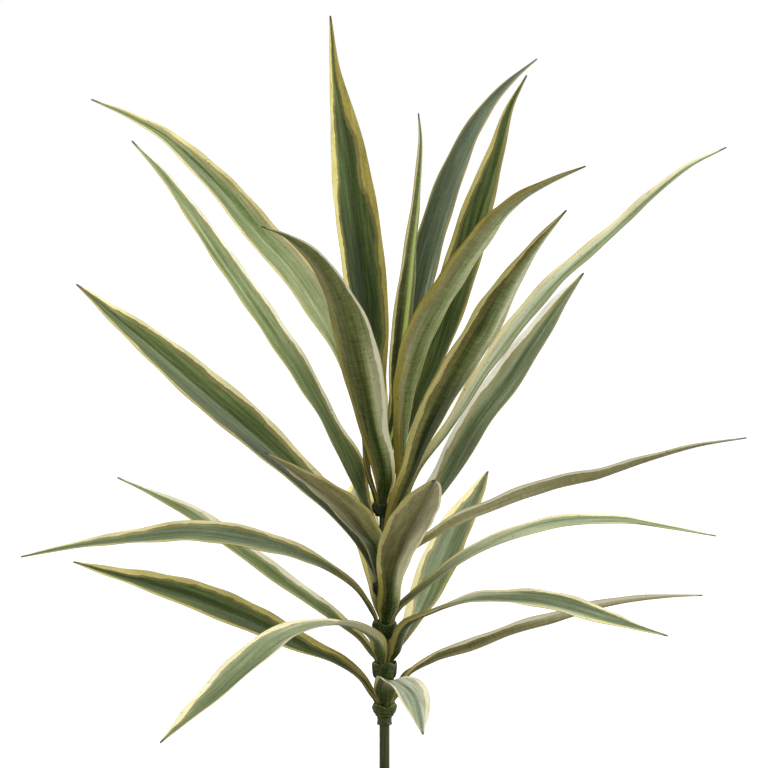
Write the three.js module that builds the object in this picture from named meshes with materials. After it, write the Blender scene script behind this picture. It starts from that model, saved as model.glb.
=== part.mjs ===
// Potted variegated yucca: one leafy head on a thin stem that stands in soil in a plain pot.
// Millimetres, +Z up, the stem on the Z axis and the pot's underside at Z = 0.
// The front of the plant faces -Y.
import * as THREE from 'three';

// Driving dimensions
const STEM_RADIUS = 4.2;
const GAP = 0.35;                 // clear space between pieces that touch
const HEAD_FOOT = 255;            // underside of the lowest sleeve
const SLEEVE_RADIUS = 10.2;
const SLEEVE_WALL = 1;
const POT_HEIGHT = 170;
const POT_RIM_RADIUS = 95;
const POT_FOOT_RADIUS = 66;
const POT_WALL = 5;

// Worked out from them
const BORE_RADIUS = STEM_RADIUS + GAP;
const POT_FLOOR = 1.6 * POT_WALL;
const RIM_BAND = 0.13 * POT_HEIGHT;
const SOIL_TOP = POT_HEIGHT - 15;
const STEM_FOOT = SOIL_TOP - 95;
const STEM_TOP = HEAD_FOOT + 211;
const COLLAR_RADIUS = 1.52 * STEM_RADIUS;
const COLLAR_HEIGHT = 6.4;
const POCKET_RADIUS = SLEEVE_RADIUS - SLEEVE_WALL;
const POCKET_FLOOR = 4;             // above a sleeve's foot
const ROOT_RADIUS = 6;
const ROOT_WIDTH = 6.6;             // width of a leaf at the bottom of its sleeve

// Seven sleeves up the stem, each [foot above the lowest sleeve's, height]
const SLEEVES = [[0, 11.4], [29, 16], [63, 15], [97, 13], [130, 13], [162, 12], [193, 11]];

// A leaf: the sleeve it stands in, the way round the stem where it is rooted, in degrees
// from +X, its width at the sleeve's rim, and its course. A row of the course is
// [side, up, back, width, twist]: the place as it is seen from the front, measured in the
// upright plane through the stem, how far it lies behind that plane, the blade's width
// there and its turn about its length.
const EYE_DISTANCE = 2494;
const EYE_HEIGHT = 698;
const LEAVES = {
  leaf_01: { sleeve: 7, root: 155, rim: 9.5, course: [
    [-9, 520, 16, 22, 0], [-13, 575, 36, 35, 0], [-19, 629, 58, 39.5, 0], [-25.5, 678, 80, 37.5, 0],
    [-32, 728, 104, 26, 0], [-39.5, 773, 126, 10, 0], [-43, 816, 144, 1.5, 0]] },
  leaf_02: { sleeve: 6, root: 180, rim: 9.5, course: [
    [-13.5, 452, 3, 12, 0], [-17, 490, 10, 14, 0], [-30, 540, 24, 22, -10],
    [-52, 583, 48, 30, -20], [-75, 617, 70, 32, -25], [-99, 643, 88, 31.5, -25],
    [-120, 669, 104, 28, -25], [-151, 701, 126, 22, -25],
    [-176, 722, 142, 16, -20], [-200, 735.5, 156, 10, -20], [-233, 750, 172, 1.5, -20]] },
  leaf_03: { sleeve: 5, root: 180, rim: 11, course: [
    [-14.5, 423, 4, 18, 0], [-25, 453, 8, 31, -14], [-48, 498, 14, 24, -16], [-65.5, 529, 20, 28, -22],
    [-94, 573, 30, 27, -26], [-124, 616, 40, 24, -28], [-152, 657, 48, 18, -30],
    [-177, 691, 54, 9, -30], [-201, 717, 60, 1.5, -30]] },
  leaf_04: { sleeve: 6, root: -100, rim: 10, course: [
    [0, 446, -16, 18, 0], [-9, 486, -30, 26, 0], [-19, 534, -55, 36, 0], [-28, 570, -80, 33, 0],
    [-42, 603, -110, 22, 0], [-61, 628.5, -135, 17, 0], [-84, 644, -158, 7, 0],
    [-98, 649, -170, 1.5, 0]] },
  leaf_05: { sleeve: 7, root: -80, rim: 9, course: [
    [8, 500, -1, 14, -25], [13, 550, 2, 22, -58], [17.5, 590, 4, 22, -58],
    [21.5, 630, 4, 18, -48], [25.5, 666, 4, 15, -38], [28, 694, 4, 13, -28],
    [28.8, 722, 4, 7, -28], [27, 739, 4, 1.5, -28]] },
  leaf_06: { sleeve: 7, root: 75, rim: 8.5, course: [
    [8, 494, 12, 14, 0], [15, 540, 26, 20, 0], [26, 590, 46, 27, 0], [37.5, 638, 66, 28, 0],
    [50, 678, 88, 27, 0], [68, 721, 116, 20, 0], [78, 738, 130, 17, 0], [100, 764, 152, 9, 0],
    [121, 782, 170, 1.5, 0]] },
  leaf_07: { sleeve: 7, root: -5, rim: 9, course: [
    [16, 480, 6, 13, 0], [25, 506, 18, 18, 0], [38, 540, 34, 26, 10], [54, 590, 54, 34, 15],
    [66, 630, 70, 34, 15], [77, 670, 86, 28, 15], [88, 704, 100, 19, 10], [101, 746, 116, 8, 5],
    [113, 769, 125, 1.5, 0]] },
  leaf_08: { sleeve: 6, root: -20, rim: 9, course: [
    [13.5, 447, -7, 14, 0], [13.5, 468, -12, 15, 0], [15, 500, -22, 18, 0], [19.5, 530, -34, 26, 5],
    [31, 565.5, -52, 31.5, 3], [52, 601.5, -74, 32, 3], [75, 635.5, -94, 30, 3], [100, 665, -112, 24, 4],
    [130, 684, -130, 16, 4], [160, 697, -142, 1.5, 4]] },
  leaf_09: { sleeve: 5, root: -60, rim: 9.5, course: [
    [9, 425, -12, 16, 0], [19, 450, -22, 19, 0], [37, 494, -42, 29, -6], [57.5, 531, -58, 34, -12],
    [79.7, 566, -74, 35.5, -12], [90, 586, -82, 33, -12], [103, 608, -91, 23, -12],
    [125, 639, -105, 11, -12], [145, 662, -116, 1.5, -12]] },
  leaf_10: { sleeve: 5, root: 15, rim: 8, course: [
    [14, 423, 3, 12, 0], [26, 453, 5, 16, 5], [50, 486, 8, 20, 10], [80, 533, 13, 26, 15],
    [107, 570, 18, 30, 18], [139, 607, 22, 27, 18], [179, 642, 27, 21, 18], [211, 672, 31, 16, 18],
    [244, 698, 35, 9, 16], [272, 712, 38, 1.5, 12]] },
  leaf_11: { sleeve: 4, root: 50, rim: 9.5, course: [
    [11, 385, 7, 13, 0], [24, 412, 14, 18, 10], [50, 451, 26, 28, 20], [75, 495, 40, 33, 22],
    [92.5, 519, 50, 35.5, 22], [117.5, 555, 64, 29, 22], [143, 592, 78, 15, 20],
    [159, 612, 86, 1.5, 20]] },
  leaf_12: { sleeve: 4, root: 145, rim: 10.5, course: [
    [-9, 376, 7, 15, 0], [-20, 396, 14, 18, -5], [-43, 426, 32, 25, -18], [-68, 450.5, 50, 29, -25],
    [-113, 492, 84, 38, -32], [-142, 516.5, 104, 39, -32], [-174, 544, 124, 34, -29],
    [-211, 574.5, 146, 22, -25], [-246, 603, 164, 1.5, -20]] },
  leaf_13: { sleeve: 4, root: -125, rim: 10.5, course: [
    [-4, 376, -11, 16, 0], [-8, 393, -26, 20, 0], [-16, 404, -50, 27, 0], [-28, 420, -88, 32, 0],
    [-45, 435, -128, 30, 0], [-65, 449, -168, 20, 0], [-82, 460, -198, 8, 0],
    [-95.6, 468, -220, 1.5, 0]] },
  leaf_14: { sleeve: 3, root: -80, rim: 12, course: [
    [3, 341, -10.5, 19, 0], [4.4, 358, -24, 20, 0], [6, 374, -48, 26, 0], [13, 394, -92, 35, 0],
    [22, 412, -138, 37, 0], [30, 427, -178, 31, 0], [37, 440, -212, 16, 0],
    [40, 446, -234, 1.5, 0]] },
  leaf_15: { sleeve: 2, root: 50, rim: 8, course: [
    [9.6, 310, 10, 12, 0], [15.5, 319, 20, 14, 0], [22, 330, 38, 18, 0], [33, 352, 72, 30, 0],
    [44, 377, 108, 36, 0], [52.5, 397, 136, 34, 0], [63, 418, 162, 28, 0], [75, 438, 188, 15, 0],
    [83, 453, 206, 1.5, 0]] },
  leaf_16: { sleeve: 4, root: -40, rim: 9.5, course: [
    [10.5, 376, -5, 14.5, 0], [20, 389, -5, 18, -10], [41, 403, -6, 22, -18], [56, 411.5, -7, 25, -22],
    [92, 426.5, -9, 27, -26], [129, 440, -11, 28, -28], [172, 450, -13, 22, -28],
    [212, 463, -15, 15, -25], [252, 474, -17, 8, -20], [290, 480, -19, 1.5, -20]] },
  leaf_17: { sleeve: 3, root: 10, rim: 10, course: [
    [11, 342, 2, 13, 0], [22, 352, 5, 14.5, 5], [43.6, 369, 10, 16, 12], [67, 386, 16, 18, 16],
    [96, 399, 23, 20, 18], [124, 408, 29, 22, 18], [152, 412.5, 35, 22, 18], [192, 413, 43, 15, 18],
    [232, 407, 50, 7, 15], [266, 401, 56, 1.5, 15]] },
  leaf_18: { sleeve: 2, root: -30, rim: 10, course: [
    [9.6, 306.5, -8.2, 14, 0], [11.5, 316, -13.5, 16, 0], [17, 328, -18, 17, 0], [40, 341, -28, 18, 5],
    [70, 350, -40, 22, 15], [96, 351, -50, 24, 18], [127, 348.5, -62, 27, 22], [160, 340, -75, 24, 24],
    [181, 333, -84, 18, 25], [200, 327.5, -91, 10, 22], [228, 320, -100, 1.5, 20]] },
  leaf_19: { sleeve: 1, root: 10, rim: 9.5, course: [
    [10.8, 274, 2, 13.5, 0], [15.6, 286, 3, 16, -5], [39.6, 301.5, 8, 22, -28], [70, 311, 14, 26, -34],
    [100, 323, 20, 25, -33], [136, 333.5, 27, 25, -33], [180, 346, 35, 19, -30],
    [227, 352, 43, 8, -25], [255.6, 353, 47, 1.5, -25]] },
  leaf_20: { sleeve: 2, root: 165, rim: 8.5, course: [
    [-11, 307, 3.2, 12, 0], [-17.5, 316, 6, 14.5, 0], [-33.5, 330, 14, 15.5, -14], [-72, 358.5, 34, 18, -26],
    [-111, 387, 52, 19, -26], [-156, 420, 72, 18, -24], [-188, 436, 86, 7, -22],
    [-214, 448, 96, 1.5, -20]] },
  leaf_21: { sleeve: 3, root: 180, rim: 10, course: [
    [-10.5, 342, -1, 14, 0], [-19.6, 356, -3, 16, -5], [-45, 375, -8, 20, -18], [-68, 386, -12, 24, -27],
    [-105, 397, -20, 28, -33], [-148, 403.5, -28, 28, -33], [-196, 400, -38, 21, -28],
    [-247, 393, -46, 11, -22], [-292, 384, -54, 1.5, -20]] },
  leaf_22: { sleeve: 1, root: 180, rim: 11.5, course: [
    [-10.8, 274, 2, 14, 0], [-18, 285, 6, 16, 0], [-36, 299, 14, 18, -15], [-63, 311, 26, 22, -28],
    [-105, 332, 44, 30, -36], [-148, 350, 62, 32, -36], [-186, 362.5, 76, 25, -32],
    [-226, 373, 92, 12, -26], [-250, 380, 100, 1.5, -25]] },
  leaf_23: { sleeve: 2, root: -115, rim: 10, course: [
    [-4, 306, -10.5, 14, 0], [-6, 316, -18, 16, 0], [-16.4, 325, -32, 19, 0], [-35, 331, -50, 22, 0],
    [-58, 329, -70, 30, 0], [-84, 318.5, -92, 38, 2], [-108, 299.5, -112, 41, 4],
    [-139, 271, -134, 34, 5], [-156.5, 255.5, -146, 22, 4], [-181, 233, -160, 1.5, 0]] },
  leaf_24: { sleeve: 1, root: -80, rim: 12.5, course: [
    [1, 272, -9.5, 19, 0], [1, 280, -20, 20, 0], [4, 285, -36, 22, 0], [11.5, 283, -60, 27, 0],
    [21, 275, -88, 28, 0], [26.5, 261, -112, 21, 0], [31, 240, -136, 1.5, 0]] },
  leaf_25: { sleeve: 6, root: 80, rim: 9, course: [
    [-2, 450, 12, 13, 0], [-5, 480, 34, 20, 0], [-12, 520, 75, 30, 0], [-16, 555, 125, 32, 0],
    [-18, 580, 170, 20, 0], [-20, 598, 205, 1.5, 0]] },
  leaf_26: { sleeve: 5, root: 98, rim: 9, course: [
    [3, 418, 12, 13, 0], [8, 440, 36, 20, 0], [16, 470, 80, 32, 0], [26, 495, 130, 34, 0],
    [34, 512, 175, 21, 0], [40, 525, 215, 1.5, 0]] },
  leaf_27: { sleeve: 3, root: 100, rim: 8.5, course: [
    [-4, 344, 10, 12, 0], [-7, 362, 26, 15, 0], [-12, 388, 54, 21, 0], [-17, 409, 94, 27, 0],
    [-19, 426, 138, 27, 0], [-21, 438, 182, 18, 0], [-22, 446, 216, 1.5, 0]] },
  leaf_28: { sleeve: 1, root: 90, rim: 8.5, course: [
    [2, 274, 8, 11, 0], [2, 292, 17, 12, 0], [3, 312, 29, 12.5, 0], [3, 335, 45, 13, 0],
    [5, 358, 65, 16, 0], [10, 384, 99, 28, 0], [14, 403, 136, 36, 0], [18, 418, 172, 32, 0],
    [22, 430, 205, 16, 0], [24, 437, 225, 1.5, 0]] },
};

// A blade's make-up
const ROWS = 18;                  // cross sections along a leaf, closest at its root
const TIP_WIDTH = 1.2;
const BLADE_THICKNESS = 0.8;
const ROOT_THICKNESS = 1.2;
const BLADE_FOLD = 0.3;           // how far the margins stand up, as a share of half the width
const ROOT_FOLD = 0.55;

const FINISH = {
  leaf: { color: 0x5f7a46, roughness: 0.5 },
  sleeve: { color: 0x5a7a38, roughness: 0.5 },
  stem: { color: 0x3f4526, roughness: 0.6 },
  soil: { color: 0x3a2a1e, roughness: 1 },
  pot: { color: 0xa8664a, roughness: 0.8 },
};

function addNode(group, name, geometry, finish) {
  const mesh = new THREE.Mesh(geometry, new THREE.MeshStandardMaterial(FINISH[finish]));
  mesh.name = name;
  group.add(mesh);
}

function geometryOf(points, triangles) {
  const geometry = new THREE.BufferGeometry();
  geometry.setAttribute('position', new THREE.Float32BufferAttribute(points.flat(), 3));
  geometry.setIndex(triangles.flat());
  geometry.computeVertexNormals();
  return geometry;
}

// A turned solid. The profile is [radius, height] points with the material on the left hand;
// it starts and ends on the axis, or else closes on itself as a ring.
function turned(profile, sides) {
  const onAxis = profile[0][0] === 0;
  const points = [];
  const rings = profile.map(([radius, height]) => {
    const start = points.length;
    const count = radius === 0 ? 1 : sides;
    for (let k = 0; k < count; k += 1) {
      const angle = (2 * Math.PI * k) / sides;
      points.push([radius * Math.cos(angle), radius * Math.sin(angle), height]);
    }
    return { start, count };
  });
  const triangles = [];
  const pairs = onAxis ? rings.length - 1 : rings.length;
  for (let i = 0; i < pairs; i += 1) {
    const low = rings[i];
    const high = rings[(i + 1) % rings.length];
    for (let k = 0; k < sides; k += 1) {
      const next = (k + 1) % sides;
      const a = low.start + (k % low.count);
      const b = low.start + (next % low.count);
      const c = high.start + (next % high.count);
      const d = high.start + (k % high.count);
      if (a !== b) triangles.push([a, b, c]);
      if (c !== d) triangles.push([a, c, d]);
    }
  }
  return geometryOf(points, triangles);
}

function pot() {
  const rimFoot = POT_HEIGHT - RIM_BAND;
  const underRim = POT_RIM_RADIUS - 5;
  return turned([
    [0, 0], [POT_FOOT_RADIUS, 0], [underRim, rimFoot], [POT_RIM_RADIUS, rimFoot],
    [POT_RIM_RADIUS, POT_HEIGHT], [underRim, POT_HEIGHT], [potInside(rimFoot), rimFoot],
    [potInside(POT_FLOOR), POT_FLOOR], [0, POT_FLOOR],
  ], 48);
}

function potInside(height) {
  const rimFoot = POT_HEIGHT - RIM_BAND;
  const share = Math.min(height / rimFoot, 1);
  return POT_FOOT_RADIUS + (POT_RIM_RADIUS - 5 - POT_FOOT_RADIUS) * share - POT_WALL;
}

function soil() {
  const foot = POT_FLOOR + GAP;
  const rimFoot = POT_HEIGHT - RIM_BAND;
  const topRadius = potInside(rimFoot) - GAP;
  const holeFoot = STEM_FOOT - GAP;
  return turned([
    [0, foot], [potInside(POT_FLOOR) - GAP, foot], [topRadius, rimFoot], [topRadius, SOIL_TOP - 3],
    [BORE_RADIUS, SOIL_TOP], [BORE_RADIUS, holeFoot], [0, holeFoot],
  ], 48);
}

function stem() {
  return turned([
    [0, STEM_FOOT], [STEM_RADIUS, STEM_FOOT], [STEM_RADIUS, STEM_TOP], [0, STEM_TOP],
  ], 16);
}

function collar() {
  const top = HEAD_FOOT - GAP;
  const foot = top - COLLAR_HEIGHT;
  return turned([
    [BORE_RADIUS, foot], [COLLAR_RADIUS, foot], [COLLAR_RADIUS, top], [BORE_RADIUS, top],
  ], 20);
}

// A round-bottomed cup with an open pocket round the stem, in which the leaf roots stand.
function sleeve([above, height]) {
  const foot = HEAD_FOOT + above;
  const floor = foot + POCKET_FLOOR;
  return turned([
    [BORE_RADIUS, foot], [0.7 * SLEEVE_RADIUS, foot], [0.87 * SLEEVE_RADIUS, foot + 2.6],
    [0.96 * SLEEVE_RADIUS, foot + 5.6], [SLEEVE_RADIUS, foot + height], [POCKET_RADIUS, foot + height],
    [0.96 * SLEEVE_RADIUS - SLEEVE_WALL, foot + 5.6], [POCKET_RADIUS - 1.3, floor], [BORE_RADIUS, floor],
  ], 24);
}

// Where a row of a leaf's course lies: on the line of sight from the front through its
// place in the upright plane of the stem.
function placed([side, up, back, width, twist]) {
  const reach = 1 + back / EYE_DISTANCE;
  return [side * reach, back, EYE_HEIGHT + (up - EYE_HEIGHT) * reach, width, twist];
}

// All the rows of a leaf: one near the pocket's floor, one at the rim, where the leaf lies
// just inside the sleeve's wall, and then those of its course.
function courseOf({ sleeve: which, root, rim, course }) {
  const [above, height] = SLEEVES[which - 1];
  const angle = THREE.MathUtils.degToRad(root);
  const bulge = (0.25 * rim * ROOT_FOLD) / Math.hypot(1, ROOT_FOLD);
  const rimRadius = POCKET_RADIUS - 1.5 * GAP - ROOT_THICKNESS / 2 - bulge;
  const foot = HEAD_FOOT + above;
  const upright = (radius, up, width) => (
    [radius * Math.cos(angle), radius * Math.sin(angle), up, width, 0]
  );
  return [
    upright(ROOT_RADIUS, foot + POCKET_FLOOR + 0.8, ROOT_WIDTH),
    upright(rimRadius, foot + height + 1.4, rim),
    ...course.map(placed),
  ];
}

// A smooth curve through all the rows, read at a length from the root: the row and its slope.
function smoothCourse(rows) {
  const steps = [];
  const knots = [0];
  for (let i = 1; i < rows.length; i += 1) {
    steps.push(Math.hypot(...[0, 1, 2].map((k) => rows[i][k] - rows[i - 1][k])));
    knots.push(knots[i - 1] + steps[i - 1]);
  }
  const rises = steps.map((step, i) => rows[i].map((value, k) => (rows[i + 1][k] - value) / step));
  const slopes = rows.map((row, i) => {
    if (i === 0) return rises[0];
    if (i === rows.length - 1) return rises[i - 1];
    const before = steps[i - 1];
    const after = steps[i];
    return row.map((_, k) => (rises[i][k] * before + rises[i - 1][k] * after) / (before + after));
  });
  const length = knots[knots.length - 1];
  const at = (distance) => {
    let i = 0;
    while (i < steps.length - 1 && knots[i + 1] <= distance) i += 1;
    const t = (distance - knots[i]) / steps[i];
    const parts = [2 * t ** 3 - 3 * t ** 2 + 1, (t ** 3 - 2 * t ** 2 + t) * steps[i],
      -2 * t ** 3 + 3 * t ** 2, (t ** 3 - t ** 2) * steps[i]];
    const turns = [6 * t ** 2 - 6 * t, (3 * t ** 2 - 4 * t + 1) * steps[i],
      -6 * t ** 2 + 6 * t, (3 * t ** 2 - 2 * t) * steps[i]];
    const mix = (w, k) => w[0] * rows[i][k] + w[1] * slopes[i][k]
      + w[2] * rows[i + 1][k] + w[3] * slopes[i + 1][k];
    return {
      row: rows[i].map((_, k) => mix(parts, k)),
      along: new THREE.Vector3(mix(turns, 0), mix(turns, 1), mix(turns, 2)).normalize(),
    };
  };
  return { length, at };
}

// The two directions of a cross section: across the blade, and out of its upper face.
function sectionAxes(place, along, twist) {
  const round = Math.atan2(place.y, place.x);
  const across = new THREE.Vector3(Math.sin(round), -Math.cos(round), 0);
  across.addScaledVector(along, -across.dot(along)).normalize();
  across.applyAxisAngle(along, THREE.MathUtils.degToRad(twist));
  const upper = new THREE.Vector3().crossVectors(across, along).normalize();
  return { across, upper };
}

function foldAt(share) {
  return BLADE_FOLD + (ROOT_FOLD - BLADE_FOLD) * Math.max(0, 1 - share / 0.38) ** 1.5;
}

// A folded blade: six points round each cross section, three on each face.
function leaf(data) {
  const { length, at } = smoothCourse(courseOf(data));
  const points = [];
  for (let k = 0; k < ROWS; k += 1) {
    const share = (k / (ROWS - 1)) ** 1.6;
    const { row, along } = at(share * length);
    const place = new THREE.Vector3(row[0], row[1], row[2]);
    const { across, upper } = sectionAxes(place, along, row[4]);
    const half = Math.max(row[3], TIP_WIDTH) / 2;
    const fold = foldAt(share);
    const slant = Math.hypot(1, fold);
    const thickness = BLADE_THICKNESS + (ROOT_THICKNESS - BLADE_THICKNESS) * (1 - share) ** 2;
    for (const face of [0.5, -0.5]) {
      for (const u of [-1, 0, 1]) {
        const rise = (half * fold * (Math.abs(u) - 0.5)) / slant + face * thickness;
        const point = place.clone().addScaledVector(across, (half * u) / slant);
        points.push(point.addScaledVector(upper, rise).toArray());
      }
    }
  }
  // Round a section: the upper face from -1 to 1, then the lower face back
  const loop = [0, 1, 2, 5, 4, 3];
  const triangles = [];
  for (let k = 0; k < ROWS - 1; k += 1) {
    loop.forEach((from, j) => {
      const to = loop[(j + 1) % loop.length];
      const [a, b, c, d] = [6 * k + from, 6 * k + to, 6 * k + 6 + to, 6 * k + 6 + from];
      const flip = j === 1 || j === 3;
      triangles.push(...(flip ? [[a, b, d], [b, c, d]] : [[a, b, c], [a, c, d]]));
    });
  }
  const cap = [[0, 3, 4], [0, 4, 1], [1, 4, 5], [1, 5, 2]];
  const last = 6 * (ROWS - 1);
  cap.forEach(([a, b, c]) => {
    triangles.push([a, b, c], [last + a, last + c, last + b]);
  });
  return geometryOf(points, triangles);
}

function plant() {
  const group = new THREE.Group();
  group.name = 'potted_variegated_yucca';
  addNode(group, 'pot', pot(), 'pot');
  addNode(group, 'soil', soil(), 'soil');
  addNode(group, 'stem', stem(), 'stem');
  addNode(group, 'collar', collar(), 'stem');
  SLEEVES.forEach((size, i) => addNode(group, `sleeve_${i + 1}`, sleeve(size), 'sleeve'));
  for (const [name, data] of Object.entries(LEAVES)) addNode(group, name, leaf(data), 'leaf');
  return group;
}

export default plant();
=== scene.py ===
"""Looks of the potted variegated yucca: fine leaves, sleeves, stem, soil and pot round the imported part."""
import math
import random

import bpy
import numpy as np
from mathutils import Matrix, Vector, noise


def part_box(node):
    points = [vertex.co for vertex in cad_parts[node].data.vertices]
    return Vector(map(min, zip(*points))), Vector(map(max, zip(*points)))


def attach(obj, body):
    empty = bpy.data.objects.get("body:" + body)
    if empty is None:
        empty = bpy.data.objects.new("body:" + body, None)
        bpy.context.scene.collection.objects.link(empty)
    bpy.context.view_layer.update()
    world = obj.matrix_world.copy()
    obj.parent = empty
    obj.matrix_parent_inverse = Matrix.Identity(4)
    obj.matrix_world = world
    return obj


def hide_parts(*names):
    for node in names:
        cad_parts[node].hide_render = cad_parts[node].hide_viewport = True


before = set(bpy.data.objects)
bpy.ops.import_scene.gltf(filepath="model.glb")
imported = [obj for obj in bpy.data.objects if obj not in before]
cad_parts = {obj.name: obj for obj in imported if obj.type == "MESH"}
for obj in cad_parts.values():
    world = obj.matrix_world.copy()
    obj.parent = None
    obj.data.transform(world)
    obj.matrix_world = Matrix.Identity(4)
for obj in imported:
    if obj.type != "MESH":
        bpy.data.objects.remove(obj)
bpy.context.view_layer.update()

# The gap between neighbouring solids, in millimetres
GAP = 0.35

# Sizes read from the frame, in metres
MM = 0.001
STEM_LOW, STEM_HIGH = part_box("stem")
STEM_RADIUS = STEM_HIGH.x
BORE_RADIUS = STEM_RADIUS + GAP * MM
SLEEVE_BOXES = [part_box(f"sleeve_{number}") for number in range(1, 8)]
SLEEVE_RADIUS = SLEEVE_BOXES[0][1].x
COLLAR_LOW, COLLAR_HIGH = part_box("collar")
POT_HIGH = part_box("pot")[1]
SOIL_LOW, SOIL_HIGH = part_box("soil")

# The pot's own sizes, the same as in the part
POT_FOOT_RADIUS = 66 * MM
POT_WALL = 5 * MM
POT_FLOOR = 1.6 * POT_WALL
RIM_BAND = 0.13 * POT_HIGH.z
RIM_FOOT = POT_HIGH.z - RIM_BAND
RIM_STEP = 5 * MM
UNDER_RIM = POT_HIGH.x - RIM_STEP

# The soil's lumps and crumbs
LUMPS_PER_METRE = 60
LUMP_HEIGHT = 2.2 * MM
SOIL_RELIEF = 1.5 * MM            # of the bed's mean height under the part's soil
SOIL_SIDES = 120
SOIL_RINGS = 46
CRUMB_COUNT = 620
CRUMB_SIZES = (0.7 * MM, 2.3 * MM)

# A sleeve's wall and pocket, the same as in the part
SLEEVE_WALL = 1 * MM
POCKET_RADIUS = SLEEVE_RADIUS - SLEEVE_WALL
POCKET_FLOOR = 4 * MM

# A sleeve's outside from its foot up, as a share of its radius and millimetres above its foot:
# a bead and then a round bottom
SLEEVE_OUTSIDE = ((0.68, 0), (0.75, 0.8), (0.72, 1.5), (0.87, 2.9), (0.96, 5.6))
BELLY_DROP = 2.4 * MM             # of its widest place below its rim
RIM_EDGE = 0.35 * MM              # the width of the rim's flat top
POCKET_ROUNDING = 1.3 * MM        # how much narrower the pocket is at its floor
SLEEVE_OVAL = 0.2 * MM            # how far the rim is from round
SLEEVE_SIDES = 120
# The rim's paler edge is a painted highlight
RIM_HIGHLIGHT_HEIGHT = 0.8 * MM             # of the paler edge of the rim
DIP_SPREAD = 2.6                  # degrees of the rim to a millimetre of the leaf's width
DIP_DEPTH = 0.02 * MM             # to a square millimetre of the leaf's width
SLEEVE_TONES = (0.52, 0.46, 0.25, 0.15, 0.15, 0.15, 0.2)

# The camera sees the plant as the photograph does
CAMERA_PLACE = Vector((-0.4, -2493.9, 697.6)) * MM
CAMERA_TARGET = Vector((-0.4, 0, 523.2)) * MM
CAMERA_LENS = 146.5

# The studio's light comes most from this way, and is dim from the other
SKY_DIRECTION = (0.25, 0.6, 0.75)
SKY_HIGH = 1.6
SKY_LOW = 0.6

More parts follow.
